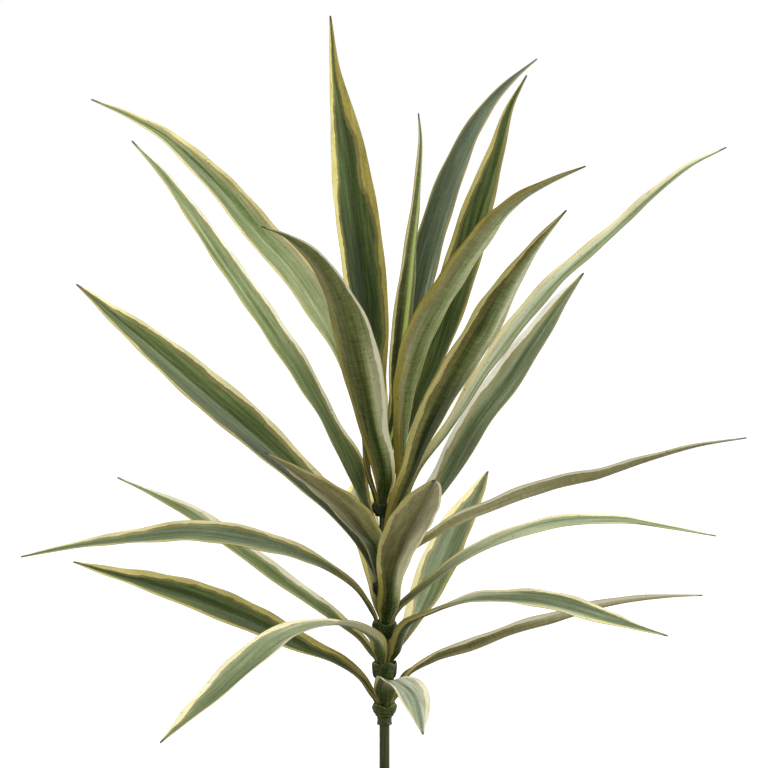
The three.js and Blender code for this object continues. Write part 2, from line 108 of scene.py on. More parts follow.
# A leaf: the sleeve it stands in, the way round the stem where it is rooted, in degrees
# from +X, its width at the sleeve's rim, and its course. A row of the course is
# [side, up, back, width, twist] in millimetres and degrees, as in the part: the place as it
# is seen from the front, measured in the upright plane through the stem, how far it lies
# behind that plane, the blade's width there and its turn about its length.
EYE_DISTANCE = 2494
EYE_HEIGHT = 698
ROOT_RADIUS = 6
ROOT_WIDTH = 6.6
ROOT_RISE = 0.8                   # of the lowest row above the pocket's floor
RIM_RISE = 1.4                    # of the second row above the sleeve's rim
RIM_CLEARANCE = 1.5 * GAP
LEAVES = {
    "leaf_01": (7, 155, 9.5, [
      [-9, 520, 16, 22, 0], [-13, 575, 36, 35, 0], [-19, 629, 58, 39.5, 0], [-25.5, 678, 80, 37.5, 0],
      [-32, 728, 104, 26, 0], [-39.5, 773, 126, 10, 0], [-43, 816, 144, 1.5, 0]]),
    "leaf_02": (6, 180, 9.5, [
      [-13.5, 452, 3, 12, 0], [-17, 490, 10, 14, 0], [-30, 540, 24, 22, -10],
      [-52, 583, 48, 30, -20], [-75, 617, 70, 32, -25], [-99, 643, 88, 31.5, -25],
      [-120, 669, 104, 28, -25], [-151, 701, 126, 22, -25],
      [-176, 722, 142, 16, -20], [-200, 735.5, 156, 10, -20], [-233, 750, 172, 1.5, -20]]),
    "leaf_03": (5, 180, 11, [
      [-14.5, 423, 4, 18, 0], [-25, 453, 8, 31, -14], [-48, 498, 14, 24, -16], [-65.5, 529, 20, 28, -22],
      [-94, 573, 30, 27, -26], [-124, 616, 40, 24, -28], [-152, 657, 48, 18, -30],
      [-177, 691, 54, 9, -30], [-201, 717, 60, 1.5, -30]]),
    "leaf_04": (6, -100, 10, [
      [0, 446, -16, 18, 0], [-9, 486, -30, 26, 0], [-19, 534, -55, 36, 0], [-28, 570, -80, 33, 0],
      [-42, 603, -110, 22, 0], [-61, 628.5, -135, 17, 0], [-84, 644, -158, 7, 0],
      [-98, 649, -170, 1.5, 0]]),
    "leaf_05": (7, -80, 9, [
      [8, 500, -1, 14, -25], [13, 550, 2, 22, -58], [17.5, 590, 4, 22, -58],
      [21.5, 630, 4, 18, -48], [25.5, 666, 4, 15, -38], [28, 694, 4, 13, -28],
      [28.8, 722, 4, 7, -28], [27, 739, 4, 1.5, -28]]),
    "leaf_06": (7, 75, 8.5, [
      [8, 494, 12, 14, 0], [15, 540, 26, 20, 0], [26, 590, 46, 27, 0], [37.5, 638, 66, 28, 0],
      [50, 678, 88, 27, 0], [68, 721, 116, 20, 0], [78, 738, 130, 17, 0], [100, 764, 152, 9, 0],
      [121, 782, 170, 1.5, 0]]),
    "leaf_07": (7, -5, 9, [
      [16, 480, 6, 13, 0], [25, 506, 18, 18, 0], [38, 540, 34, 26, 10], [54, 590, 54, 34, 15],
      [66, 630, 70, 34, 15], [77, 670, 86, 28, 15], [88, 704, 100, 19, 10], [101, 746, 116, 8, 5],
      [113, 769, 125, 1.5, 0]]),
    "leaf_08": (6, -20, 9, [
      [13.5, 447, -7, 14, 0], [13.5, 468, -12, 15, 0], [15, 500, -22, 18, 0], [19.5, 530, -34, 26, 5],
      [31, 565.5, -52, 31.5, 3], [52, 601.5, -74, 32, 3], [75, 635.5, -94, 30, 3], [100, 665, -112, 24, 4],
      [130, 684, -130, 16, 4], [160, 697, -142, 1.5, 4]]),
    "leaf_09": (5, -60, 9.5, [
      [9, 425, -12, 16, 0], [19, 450, -22, 19, 0], [37, 494, -42, 29, -6], [57.5, 531, -58, 34, -12],
      [79.7, 566, -74, 35.5, -12], [90, 586, -82, 33, -12], [103, 608, -91, 23, -12],
      [125, 639, -105, 11, -12], [145, 662, -116, 1.5, -12]]),
    "leaf_10": (5, 15, 8, [
      [14, 423, 3, 12, 0], [26, 453, 5, 16, 5], [50, 486, 8, 20, 10], [80, 533, 13, 26, 15],
      [107, 570, 18, 30, 18], [139, 607, 22, 27, 18], [179, 642, 27, 21, 18], [211, 672, 31, 16, 18],
      [244, 698, 35, 9, 16], [272, 712, 38, 1.5, 12]]),
    "leaf_11": (4, 50, 9.5, [
      [11, 385, 7, 13, 0], [24, 412, 14, 18, 10], [50, 451, 26, 28, 20], [75, 495, 40, 33, 22],
      [92.5, 519, 50, 35.5, 22], [117.5, 555, 64, 29, 22], [143, 592, 78, 15, 20],
      [159, 612, 86, 1.5, 20]]),
    "leaf_12": (4, 145, 10.5, [
      [-9, 376, 7, 15, 0], [-20, 396, 14, 18, -5], [-43, 426, 32, 25, -18], [-68, 450.5, 50, 29, -25],
      [-113, 492, 84, 38, -32], [-142, 516.5, 104, 39, -32], [-174, 544, 124, 34, -29],
      [-211, 574.5, 146, 22, -25], [-246, 603, 164, 1.5, -20]]),
    "leaf_13": (4, -125, 10.5, [
      [-4, 376, -11, 16, 0], [-8, 393, -26, 20, 0], [-16, 404, -50, 27, 0], [-28, 420, -88, 32, 0],
      [-45, 435, -128, 30, 0], [-65, 449, -168, 20, 0], [-82, 460, -198, 8, 0],
      [-95.6, 468, -220, 1.5, 0]]),
    "leaf_14": (3, -80, 12, [
      [3, 341, -10.5, 19, 0], [4.4, 358, -24, 20, 0], [6, 374, -48, 26, 0], [13, 394, -92, 35, 0],
      [22, 412, -138, 37, 0], [30, 427, -178, 31, 0], [37, 440, -212, 16, 0],
      [40, 446, -234, 1.5, 0]]),
    "leaf_15": (2, 50, 8, [
      [9.6, 310, 10, 12, 0], [15.5, 319, 20, 14, 0], [22, 330, 38, 18, 0], [33, 352, 72, 30, 0],
      [44, 377, 108, 36, 0], [52.5, 397, 136, 34, 0], [63, 418, 162, 28, 0], [75, 438, 188, 15, 0],
      [83, 453, 206, 1.5, 0]]),
    "leaf_16": (4, -40, 9.5, [
      [10.5, 376, -5, 14.5, 0], [20, 389, -5, 18, -10], [41, 403, -6, 22, -18], [56, 411.5, -7, 25, -22],
      [92, 426.5, -9, 27, -26], [129, 440, -11, 28, -28], [172, 450, -13, 22, -28],
      [212, 463, -15, 15, -25], [252, 474, -17, 8, -20], [290, 480, -19, 1.5, -20]]),
    "leaf_17": (3, 10, 10, [
      [11, 342, 2, 13, 0], [22, 352, 5, 14.5, 5], [43.6, 369, 10, 16, 12], [67, 386, 16, 18, 16],
      [96, 399, 23, 20, 18], [124, 408, 29, 22, 18], [152, 412.5, 35, 22, 18], [192, 413, 43, 15, 18],
      [232, 407, 50, 7, 15], [266, 401, 56, 1.5, 15]]),
    "leaf_18": (2, -30, 10, [
      [9.6, 306.5, -8.2, 14, 0], [11.5, 316, -13.5, 16, 0], [17, 328, -18, 17, 0], [40, 341, -28, 18, 5],
      [70, 350, -40, 22, 15], [96, 351, -50, 24, 18], [127, 348.5, -62, 27, 22], [160, 340, -75, 24, 24],
      [181, 333, -84, 18, 25], [200, 327.5, -91, 10, 22], [228, 320, -100, 1.5, 20]]),
    "leaf_19": (1, 10, 9.5, [
      [10.8, 274, 2, 13.5, 0], [15.6, 286, 3, 16, -5], [39.6, 301.5, 8, 22, -28], [70, 311, 14, 26, -34],
      [100, 323, 20, 25, -33], [136, 333.5, 27, 25, -33], [180, 346, 35, 19, -30],
      [227, 352, 43, 8, -25], [255.6, 353, 47, 1.5, -25]]),
    "leaf_20": (2, 165, 8.5, [
      [-11, 307, 3.2, 12, 0], [-17.5, 316, 6, 14.5, 0], [-33.5, 330, 14, 15.5, -14],
      [-72, 358.5, 34, 18, -26], [-111, 387, 52, 19, -26], [-156, 420, 72, 18, -24],
      [-188, 436, 86, 7, -22], [-214, 448, 96, 1.5, -20]]),
    "leaf_21": (3, 180, 10, [
      [-10.5, 342, -1, 14, 0], [-19.6, 356, -3, 16, -5], [-45, 375, -8, 20, -18], [-68, 386, -12, 24, -27],
      [-105, 397, -20, 28, -33], [-148, 403.5, -28, 28, -33], [-196, 400, -38, 21, -28],
      [-247, 393, -46, 11, -22], [-292, 384, -54, 1.5, -20]]),
    "leaf_22": (1, 180, 11.5, [
      [-10.8, 274, 2, 14, 0], [-18, 285, 6, 16, 0], [-36, 299, 14, 18, -15], [-63, 311, 26, 22, -28],
      [-105, 332, 44, 30, -36], [-148, 350, 62, 32, -36], [-186, 362.5, 76, 25, -32],
      [-226, 373, 92, 12, -26], [-250, 380, 100, 1.5, -25]]),
    "leaf_23": (2, -115, 10, [
      [-4, 306, -10.5, 14, 0], [-6, 316, -18, 16, 0], [-16.4, 325, -32, 19, 0], [-35, 331, -50, 22, 0],
      [-58, 329, -70, 30, 0], [-84, 318.5, -92, 38, 2], [-108, 299.5, -112, 41, 4],
      [-139, 271, -134, 34, 5], [-156.5, 255.5, -146, 22, 4], [-181, 233, -160, 1.5, 0]]),
    "leaf_24": (1, -80, 12.5, [
      [1, 272, -9.5, 19, 0], [1, 280, -20, 20, 0], [4, 285, -36, 22, 0], [11.5, 283, -60, 27, 0],
      [21, 275, -88, 28, 0], [26.5, 261, -112, 21, 0], [31, 240, -136, 1.5, 0]]),
    "leaf_25": (6, 80, 9, [
      [-2, 450, 12, 13, 0], [-5, 480, 34, 20, 0], [-12, 520, 75, 30, 0], [-16, 555, 125, 32, 0],
      [-18, 580, 170, 20, 0], [-20, 598, 205, 1.5, 0]]),
    "leaf_26": (5, 98, 9, [
      [3, 418, 12, 13, 0], [8, 440, 36, 20, 0], [16, 470, 80, 32, 0], [26, 495, 130, 34, 0],
      [34, 512, 175, 21, 0], [40, 525, 215, 1.5, 0]]),
    "leaf_27": (3, 100, 8.5, [
      [-4, 344, 10, 12, 0], [-7, 362, 26, 15, 0], [-12, 388, 54, 21, 0], [-17, 409, 94, 27, 0],
      [-19, 426, 138, 27, 0], [-21, 438, 182, 18, 0], [-22, 446, 216, 1.5, 0]]),
    "leaf_28": (1, 90, 8.5, [
      [2, 274, 8, 11, 0], [2, 292, 17, 12, 0], [3, 312, 29, 12.5, 0], [3, 335, 45, 13, 0],
      [5, 358, 65, 16, 0], [10, 384, 99, 28, 0], [14, 403, 136, 36, 0], [18, 418, 172, 32, 0],
      [22, 430, 205, 16, 0], [24, 437, 225, 1.5, 0]]),
}

# Colours from dark to pale, as 0 to 255 screen values
GREENS = ((32, 44, 8), (65, 80, 33), (104, 119, 66), (153, 165, 114), (204, 209, 168))
COOLS = ((38, 46, 26), (69, 80, 54), (104, 116, 91), (155, 162, 141), (211, 213, 199))
BROWNS = ((56, 55, 18), (97, 91, 46), (136, 128, 79), (168, 160, 109), (200, 192, 150))
DULLS = ((80, 78, 34), (112, 108, 58), (140, 136, 86), (172, 167, 124), (204, 199, 162))
CREAMS = ((142, 131, 58), (186, 174, 92), (218, 206, 136), (242, 233, 178), (250, 246, 214))
PALES = ((146, 140, 78), (188, 180, 122), (216, 209, 166), (236, 232, 206), (248, 247, 236))
CUP_GREENS = ((22, 28, 8), (52, 64, 24), (90, 104, 48), (134, 144, 86))

# The make of a leaf, in millimetres and shares of its length
LEAF_ROWS = 120
LEAF_CELLS = 24                   # across a blade
ROW_CROWDING = 1.2                # above 1, the rows are closer together near the root
TIP_WIDTH = 1.0
BLADE_THICKNESS = 0.8
ROOT_THICKNESS = 1.2
BLADE_FOLD = 0.34                 # how steeply each half rises from the midrib
ROOT_FOLD = 0.55
FOLD_SHARE = 0.38                 # of the length, until the root's fold has become the blade's
CHANNEL_BEND = 1.25               # 1 is a plain fold and 2 a round channel
ROOT_BEND = 0.6                   # more of it at the root
GROOVE_DEPTH = 0.3                # along the midrib
GROOVE_WIDTH = 0.9
RIB_HEIGHT = 0.07
RIB_TURN = 2.1                    # radians of the ribs' wave to a millimetre
WAVE_HEIGHT = 0.55                # of the margins
WAVE_LENGTHS = (38, 62)

# Where along a leaf its looks change, as shares of its length or millimetres from its root
FOOT_SHARES = (0.02, 0.3)
HIGH_SHARES = (0.3, 0.7)
ROOTED_LENGTHS = (14, 42)


class Look:
    """How one leaf is coloured, each pair for the edge at -1 and the edge at +1 of its width:
    the margins and the dull bands inside them in millimetres, how cream the margins are from
    0 to 1, and how pale the middle is from 0 to 1, at one edge, the midrib and the other, low
    on the leaf and high on it. The creams and the paleness are partly the leaf's own colour and
    partly painted light: raised where a half or margin is painted as lit or with a painted sheen,
    lowered where it is painted as shaded. Top is how many times as wide the margins are high on
    it. The back of a leaf is browner by brown beyond the start, a share of its length, and a leaf
    is greyer by cool, partly its own grey and partly a painted sheen. The lime value makes a pale
    yellow-green strip along its middle, a painted highlight on its fold."""

    def __init__(self, margins, bands, creams, low, high, top=(1, 1), brown=0.4, start=0.12,
                 lime_highlight=0.0, cool=0.0):
        self.margins = margins
        self.bands = bands
        self.creams = creams
        self.low = low
        self.high = high
        self.top = top
        self.brown = brown
        self.start = start
        self.lime_highlight = lime_highlight
        self.cool = cool


LOOKS = {
    "leaf_01": Look((3.8, 3.4), (2, 3.0), (0.35, 0.1), (0.05, 0.0, 0.2), (0.3, 0.2, 0.3), top=(1.1, 1.9)),
    "leaf_02": Look((1.6, 2.4), (1.5, 4), (0.3, 0.5), (0.7, 0.85, 0.9), (0.35, 0.45, 0.6), top=(1, 1.1)),
    "leaf_03": Look((1.6, 2.6), (1, 1.5), (0.2, 0.95), (0.45, 0.5, 0.6), (0.5, 0.6, 0.7), cool=0.15),
    "leaf_04": Look((3.6, 3.2), (1, 4), (1.9, 0.05), (0.95, 0.25, 0.25), (0.5, 0.4, 0.55), top=(0.4, 0.9)),
    "leaf_05": Look((0.0, 1.6), (0.5, 1), (0.0, 0.4), (0.3, 0.4, 0.05), (0.5, 0.6, 0.3),
                    lime_highlight=1.0, cool=0.6),
    "leaf_06": Look((0.8, 1.2), (1, 1), (-0.4, -0.1), (0.2, 0.2, 0.6), (0.2, 0.35, 0.45), cool=1.0),
    "leaf_07": Look((3.2, 1.6), (2, 2), (0.35, 0.1), (0.35, 0.25, 0.2), (0.3, 0.3, 0.5), top=(1, 1.3)),
    "leaf_08": Look((0.6, 4.4), (1, 5), (0.3, 0.15), (0.6, 0.5, 0.75), (0.9, 0.75, 0.55), brown=0.2),
    "leaf_09": Look((1.4, 3.4), (1, 5), (0.4, 0.4), (0.1, 0.0, 0.35), (0.9, 0.6, 0.2), brown=0.2),
    "leaf_10": Look((5.0, 0.8), (1, 1), (0.6, 0.0), (1.1, 0.8, 0.7), (1.0, 0.6, 0.5),
                    cool=0.3, top=(0.7, 1)),
    "leaf_11": Look((3.8, 0.6), (4, 1), (1.6, 0.1), (0.7, 0.45, 0.4), (0.7, 0.5, 0.5), cool=0.6),
    "leaf_12": Look((1.2, 3.0), (1, 3.5), (0.1, 0.7), (0.05, 0.2, 0.4), (0.2, 0.3, 0.45), top=(2.4, 1.1)),
    "leaf_13": Look((1.6, 1.6), (1, 1), (0.4, 0.6), (0.65, 0.25, 0.45), (0.55, 0.5, 0.85), brown=0.9),
    "leaf_14": Look((2.4, 3.6), (1, 2), (0.7, 0.4), (1.3, 0.2, 0.35), (0.65, 0.4, 0.6),
                    brown=0.9, top=(0.8, 0.9)),
    "leaf_15": Look((4.4, 2.6), (2.5, 2), (0.5, 0.1), (0.5, 0.5, 0.45), (0.4, 0.4, 0.4), cool=0.4),
    "leaf_16": Look((0.2, 2.0), (1, 2), (0.0, 0.9), (0.4, 1.0, 0.8), (-0.2, 0.5, 0.6),
                    brown=0.9, start=-0.2),
    "leaf_17": Look((1.8, 2.0), (1, 1.5), (0.5, 0.2), (0.8, 0.7, 0.8), (0.45, 0.6, 0.7), cool=0.4),
    "leaf_18": Look((2.2, 3.8), (1.0, 1), (0.6, 0.3), (0.85, 0.5, 0.2), (0.45, 0.5, 0.7),
                    brown=0.5, cool=0.6),
    "leaf_19": Look((1.8, 2.8), (1, 1.5), (0.2, 0.9), (1.2, 0.75, 0.4), (-0.1, 0.6, 1.2),
                    brown=0.9, start=-0.2, top=(0, 1)),
    "leaf_20": Look((1.8, 3.6), (1, 1), (0.2, 0.95), (0.55, 0.45, 0.7), (0.5, 0.6, 0.85)),
    "leaf_21": Look((2.4, 3.0), (1.5, 2.5), (0.1, 0.45), (0.5, 0.4, 0.4), (0.4, 0.35, 0.45), cool=0.6),
    "leaf_22": Look((2.4, 4.4), (1, 2), (0.3, 0.35), (0.2, 0.2, 0.4), (0.35, 0.2, 0.3)),
    "leaf_23": Look((2.4, 4.4), (2, 2), (0.75, 0.75), (1.5, 0.7, 0.75), (0.35, 0.5, 0.6),
                    brown=0.6, cool=0.3),
    "leaf_24": Look((3.0, 1.8), (1, 1), (0.7, 0.45), (1.0, 0.85, 0.35), (0.85, 0.56, 0.62),
                    brown=0.8, start=0.08, cool=0.8),
    "leaf_26": Look((3.4, 3.0), (9, 9), (0.5, 0.4), (1.0, 0.9, 1.0), (0.6, 0.5, 0.6)),
    "leaf_28": Look((3.4, 3.0), (9, 9), (0.5, 0.4), (1.0, 0.9, 1.0), (0.6, 0.5, 0.6)),
}
BACK_LOOK = Look((3.4, 3.0), (4, 4), (0.3, 0.3), (0.4, 0.25, 0.4), (0.4, 0.35, 0.4))


def linear(red, green, blue):
    """A colour written as 0 to 255 screen values, as the shaders want it."""
    channels = [value / 255 for value in (red, green, blue)]
    return [c / 12.92 if c <= 0.04045 else ((c + 0.055) / 1.055) ** 2.4 for c in channels] + [1.0]


class Shading:
    """A material's nodes, made and joined in one call each."""

    def __init__(self, name, roughness, specular):
        self.material = bpy.data.materials.new(name)
        self.material.use_nodes = True
        self.tree = self.material.node_tree
        self.shader = self.tree.nodes["Principled BSDF"]
        self.shader.inputs["Roughness"].default_value = roughness
        self.shader.inputs["Specular IOR Level"].default_value = specular

    def put(self, value, socket):
        """Joins a node's output to the socket, or sets the socket to a number or colour."""
        if isinstance(value, bpy.types.NodeSocket):
            self.tree.links.new(value, socket)
        else:
            socket.default_value = value

    def attribute(self, name):
        node = self.tree.nodes.new("ShaderNodeAttribute")
        node.attribute_name = name
        return node.outputs["Fac"]

    def place(self):
        return self.tree.nodes.new("ShaderNodeTexCoord").outputs["Object"]

    def math(self, operation, first, second=0.0, third=0.0):
        node = self.tree.nodes.new("ShaderNodeMath")
        node.operation = operation
        for socket, value in zip(node.inputs, (first, second, third)):
            self.put(value, socket)
        return node.outputs[0]

    def vector(self, x, y, z):
        node = self.tree.nodes.new("ShaderNodeCombineXYZ")
        for socket, value in zip(node.inputs, (x, y, z)):
            self.put(value, socket)
        return node.outputs[0]

    def noise(self, place, scale, detail=2.0, roughness=0.5):
        node = self.tree.nodes.new("ShaderNodeTexNoise")
        self.put(place, node.inputs["Vector"])
        node.inputs["Scale"].default_value = scale
        node.inputs["Detail"].default_value = detail
        node.inputs["Roughness"].default_value = roughness
        return node.outputs["Fac"]

    def step(self, value, low, high):
        """0 below low, 1 above high, and smooth between them."""
        node = self.tree.nodes.new("ShaderNodeMapRange")
        node.interpolation_type = "SMOOTHSTEP"
        self.put(value, node.inputs["Value"])
        node.inputs["From Min"].default_value = low
        node.inputs["From Max"].default_value = high
        return node.outputs["Result"]

    def ramp(self, value, *colours):
        """The colours at even steps of the value from 0 to 1."""
        node = self.tree.nodes.new("ShaderNodeValToRGB")
        self.put(value, node.inputs["Fac"])
        stops = node.color_ramp.elements
        while len(stops) < len(colours):
            stops.new(0.5)
        for place, colour in enumerate(colours):
            stops[place].position = place / (len(colours) - 1)
            stops[place].color = linear(*colour)
        return node.outputs["Color"]

    def mix(self, share, first, second):
        node = self.tree.nodes.new("ShaderNodeMix")
        node.data_type = "RGBA"
        self.put(share, node.inputs["Factor"])
        self.put(first, node.inputs["A"])
        self.put(second, node.inputs["B"])
        return node.outputs["Result"]

    def finish(self, colour, height=None, strength=1.0, distance=0.001):
        self.put(colour, self.shader.inputs["Base Color"])
        if height is not None:
            bump = self.tree.nodes.new("ShaderNodeBump")
            bump.inputs["Strength"].default_value = strength
            bump.inputs["Distance"].default_value = distance
            self.put(height, bump.inputs["Height"])
            self.put(bump.outputs["Normal"], self.shader.inputs["Normal"])
        return self.material


def leaf_material():
    """Green middle, dull band and cream margin, drawn by how far a point is from the edge."""
    s = Shading("variegated_leaf", roughness=0.45, specular=0.14)
    across = s.attribute("across")
    along = s.attribute("along")
    edge = s.attribute("edge")
    seed = s.attribute("seed")
    share = s.attribute("share")
    under = s.attribute("under")
    side = s.math("SIGN", across)
    # Long soft streaks, partly the leaf's own and partly painted sheen streaks, fine veins along
    # the leaf, a faint weave across it and small blotches
    streak_place = s.vector(s.math("MULTIPLY", across, 0.3), s.math("MULTIPLY", along, 0.012), seed)
    streak = s.math("SUBTRACT", s.noise(streak_place, 1.0, detail=4.0, roughness=0.65), 0.5)
    vein_place = s.vector(s.math("MULTIPLY", across, 1.1), s.math("MULTIPLY", along, 0.03), seed)
    vein = s.math("SUBTRACT", s.noise(vein_place, 1.0, detail=4.0, roughness=0.7), 0.5)
    weave_place = s.vector(s.math("MULTIPLY", across, 0.1), s.math("MULTIPLY", along, 0.45), seed)
    weave = s.math("SUBTRACT", s.noise(weave_place, 1.0, detail=4.0, roughness=0.75), 0.5)
    grain_place = s.vector(across, s.math("MULTIPLY", along, 0.6), seed)
    grain = s.math("SUBTRACT", s.noise(grain_place, 0.7, detail=5.0, roughness=0.75), 0.5)
    # The edges of the bands wander along the leaf
    wander_place = s.vector(s.math("MULTIPLY", side, 7.0), s.math("MULTIPLY", along, 0.022), seed)
    wander = s.math("SUBTRACT", s.noise(wander_place, 1.0, detail=4.0, roughness=0.6), 0.5)
    jag_place = s.vector(s.math("MULTIPLY", side, 3.0), s.math("MULTIPLY", along, 0.13), seed)
    jag = s.math("SUBTRACT", s.noise(jag_place, 1.0, detail=4.0, roughness=0.65), 0.5)
    margin = s.attribute("margin")
    past_margin = s.math("SUBTRACT", edge, margin)
    past_margin = s.math("MULTIPLY_ADD", wander, s.math("MULTIPLY", margin, -2.4), past_margin)
    past_margin = s.math("MULTIPLY_ADD", jag, -1.3, past_margin)
    past_band = s.math("SUBTRACT", past_margin, s.attribute("band"))
    past_band = s.math("MULTIPLY_ADD", jag, 3.0, past_band)
    past_band = s.math("MULTIPLY_ADD", streak, 4.0, past_band)
    in_green = s.step(past_margin, -0.15, 0.3)
    in_middle = s.step(past_band, -0.6, 0.8)
    # Middle of the blade, mottled near its foot
    tone = s.math("MULTIPLY_ADD", streak, 0.75, s.attribute("tone"))
    tone = s.math("MULTIPLY_ADD", vein, 0.55, tone)
    tone = s.math("MULTIPLY_ADD", weave, s.math("MULTIPLY_ADD", under, 0.4, 0.12), tone)
    mottled = s.math("MULTIPLY_ADD", s.step(share, 0.2, 0.02), 0.7, 0.2)
    tone = s.math("MULTIPLY_ADD", grain, mottled, tone)
    green = s.mix(s.attribute("cool"), s.ramp(tone, *GREENS), s.ramp(tone, *COOLS))
    green = s.mix(s.math("MULTIPLY", s.attribute("brown"), under), green, s.ramp(tone, *BROWNS))
    # A pale yellow-green strip along the middle: a painted highlight on the fold
    green = s.mix(s.attribute("lime_highlight"), green, linear(166, 182, 96))
    colour = s.mix(in_middle, s.ramp(tone, *DULLS), green)
    # Margin
    cream = s.math("MULTIPLY_ADD", vein, 0.6, s.attribute("cream"))
    cream = s.math("MULTIPLY_ADD", streak, 0.5, cream)
    cream = s.math("MULTIPLY_ADD", grain, 0.4, cream)
    pale = s.mix(s.attribute("cool"), s.ramp(cream, *CREAMS), s.ramp(cream, *PALES))
    colour = s.mix(in_green, pale, colour)
    rim = s.math("MULTIPLY", s.step(edge, 0.4, 0.1), 0.5)
    colour = s.mix(rim, colour, linear(112, 92, 48))
    colour = s.mix(s.step(share, 0.975, 0.998), colour, linear(84, 68, 44))
    speck = s.step(s.noise(s.vector(across, along, seed), 0.45, detail=0.0), 0.80, 0.84)
    colour = s.mix(s.math("MULTIPLY", speck, 0.6), colour, linear(50, 44, 22))
    height = s.math("MULTIPLY_ADD", grain, 0.35, s.math("MULTIPLY", vein, 0.8))
    height = s.math("MULTIPLY_ADD", weave, 0.3, height)
    return s.finish(colour, height, strength=0.6, distance=0.35 * MM)


def sleeve_material():
    s = Shading("moulded_green", roughness=0.5, specular=0.2)
    place = s.place()
    mottle = s.math("SUBTRACT", s.noise(place, 420.0, detail=5.0, roughness=0.75), 0.5)
    patch = s.math("SUBTRACT", s.noise(place, 90.0, detail=2.0), 0.5)
    tone = s.math("MULTIPLY_ADD", mottle, 1.5, s.attribute("tone"))
    tone = s.math("MULTIPLY_ADD", patch, 0.7, tone)
    # The rim's edge is painted paler: a painted highlight
    tone = s.math("MULTIPLY_ADD", s.attribute("lip"), 0.4, tone)
    height = s.noise(place, 600.0, detail=3.0)
    return s.finish(s.ramp(tone, *CUP_GREENS), height, strength=0.5, distance=0.3 * MM)


def stem_material():
    s = Shading("olive_stem", roughness=0.45, specular=0.4)
    place = s.tree.nodes.new("ShaderNodeSeparateXYZ")
    s.put(s.place(), place.inputs[0])
    streak_place = s.vector(place.outputs[0], place.outputs[1], s.math("MULTIPLY", place.outputs[2], 0.04))
    streak = s.noise(streak_place, 700.0, detail=3.0)
    colour = s.mix(s.step(streak, 0.3, 0.7), linear(44, 50, 20), linear(78, 84, 40))
    return s.finish(colour, streak, strength=0.4, distance=0.3 * MM)


def pot_material():
    s = Shading("plain_terracotta", roughness=0.85, specular=0.3)
    place = s.place()
    patch = s.noise(place, 14.0, detail=4.0, roughness=0.6)
    grain = s.noise(place, 900.0, detail=2.0)
    colour = s.mix(s.step(patch, 0.3, 0.75), linear(158, 92, 62), linear(184, 118, 84))
    colour = s.mix(s.math("MULTIPLY", s.step(grain, 0.62, 0.75), 0.35), colour, linear(206, 150, 118))
    return s.finish(colour, grain, strength=0.35, distance=0.3 * MM)


def soil_material():
    s = Shading("dark_soil", roughness=1.0, specular=0.2)
    place = s.place()
    grain = s.noise(place, 420.0, detail=4.0, roughness=0.7)
    colour = s.mix(s.step(grain, 0.35, 0.7), linear(34, 25, 18), linear(76, 58, 42))
    return s.finish(colour, grain, strength=0.9, distance=1.2 * MM)


def floor_material():
    s = Shading("pale_floor", roughness=1.0, specular=0.0)
    return s.finish(linear(250, 250, 250))


def mesh_piece(name, points, faces, material, sharp=50):
    """A piece of the plant from points in metres, which rides on the one body. Its edges that
    are bent by more than sharp degrees stay sharp."""
    mesh = bpy.data.meshes.new(name)
    mesh.from_pydata([tuple(point) for point in points], [], [tuple(face) for face in faces])
    mesh.polygons.foreach_set("use_smooth", [True] * len(mesh.polygons))
    mesh.set_sharp_from_angle(angle=math.radians(sharp))
    mesh.materials.append(material)
    piece = bpy.data.objects.new(name, mesh)
    bpy.context.scene.collection.objects.link(piece)
    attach(piece, "root")
    return piece


def placed(side, up, back, width, twist):
    """On the line of sight from the front through a place in the upright plane of the stem."""
    reach = 1 + back / EYE_DISTANCE
    return (side * reach, back, EYE_HEIGHT + (up - EYE_HEIGHT) * reach, width, twist)


def course_rows(sleeve, root, rim, course):
    """All the rows of a leaf, as in the part: one near the pocket's floor, one at the rim just
    inside the sleeve's wall, and those of its course."""
    low, high = SLEEVE_BOXES[sleeve - 1]
    angle = math.radians(root)
    # The channel's back stands out from its middle by half its depth
    bulge = 0.25 * rim * ROOT_FOLD / math.hypot(1, ROOT_FOLD)
    rim_radius = POCKET_RADIUS / MM - RIM_CLEARANCE - ROOT_THICKNESS / 2 - bulge
    feet = [
        (ROOT_RADIUS, (low.z + POCKET_FLOOR) / MM + ROOT_RISE, ROOT_WIDTH),
        (rim_radius, high.z / MM + RIM_RISE, rim),
    ]
    rows = []
    for radius, up, width in feet:
        rows.append((radius * math.cos(angle), radius * math.sin(angle), up, width, 0))
    return np.array(rows + [placed(*row) for row in course], float)


def smooth_course(rows, shares):
    """The rows of a smooth curve through all of them, at shares of its length, and its slopes."""
    steps = np.linalg.norm(np.diff(rows[:, :3], axis=0), axis=1)
    knots = np.concatenate([[0], np.cumsum(steps)])
    rises = np.diff(rows, axis=0) / steps[:, None]
    slopes = np.empty_like(rows)
    slopes[0] = rises[0]
    slopes[-1] = rises[-1]
    before = steps[:-1, None]
    after = steps[1:, None]
    slopes[1:-1] = (rises[1:] * before + rises[:-1] * after) / (before + after)
    distance = shares * knots[-1]
    i = np.clip(np.searchsorted(knots, distance, side="right") - 1, 0, len(steps) - 1)
    step = steps[i][:, None]
    t = ((distance - knots[i]) / steps[i])[:, None]
    read = (2 * t**3 - 3 * t**2 + 1) * rows[i] + (t**3 - 2 * t**2 + t) * step * slopes[i]
    read += (3 * t**2 - 2 * t**3) * rows[i + 1] + (t**3 - t**2) * step * slopes[i + 1]
    turn = (6 * t**2 - 6 * t) * rows[i] + (3 * t**2 - 4 * t + 1) * step * slopes[i]
    turn += (6 * t - 6 * t**2) * rows[i + 1] + (3 * t**2 - 2 * t) * step * slopes[i + 1]
    along = turn[:, :3] / np.linalg.norm(turn[:, :3], axis=1)[:, None]
    return read, along, distance


